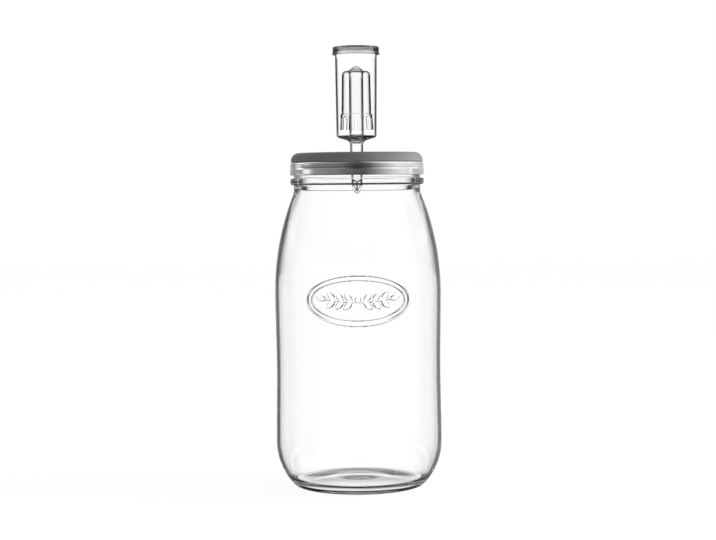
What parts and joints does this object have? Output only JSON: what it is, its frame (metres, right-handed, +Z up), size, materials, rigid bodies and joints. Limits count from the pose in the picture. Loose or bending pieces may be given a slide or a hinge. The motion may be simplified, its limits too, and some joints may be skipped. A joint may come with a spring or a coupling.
{
  "type": "fermentation jar",
  "caption": "Tall clear glass jar with a steel screw band, a grey silicone lid and a clear airlock that lets gas out of the ferment and keeps air from coming back in.",
  "frame": {"origin": "centre of the base, on the surface that the jar stands on", "axes": "+Z up along the axis of the jar, -Y towards the front"},
  "size_m": [0.1372, 0.1372, 0.3625],
  "materials": {
    "glass": "clear pressed glass",
    "silicone": "matt grey silicone",
    "steel": "bright rolled steel",
    "clear_plastic": "clear moulded plastic"
  },
  "bodies": {
    "jar": {"jar": "glass"},
    "lid": {"silicone_lid": "silicone"},
    "band": {"screw_band": "steel"},
    "airlock": {"airlock_body": "clear_plastic"},
    "bell": {"airlock_bell": "clear_plastic"},
    "cap": {"airlock_cap": "clear_plastic"}
  },
  "joints": [
    {"name": "lid_rise", "type": "slide", "parent": "jar", "child": "lid", "axis": [0, 0, 1], "range_m": [0, 0.03]},
    {"name": "band_turn", "type": "hinge", "parent": "lid", "child": "band", "pos_m": [0, 0, 0.262], "axis": [0, 0, 1], "range_deg": [0, 2160]},
    {"name": "airlock_pull", "type": "slide", "parent": "lid", "child": "airlock", "axis": [0, 0, 1], "range_m": [0, 0.045]},
    {"name": "bell_float", "type": "slide", "parent": "airlock", "child": "bell", "axis": [0, 0, 1], "range_m": [0, 0.012]},
    {"name": "cap_pull", "type": "slide", "parent": "airlock", "child": "cap", "axis": [0, 0, 1], "range_m": [0, 0.03]}
  ],
  "couplings": [
    {"joint": "lid_rise", "follows": "band_turn", "m_per_rad": 0.00079577}
  ]
}
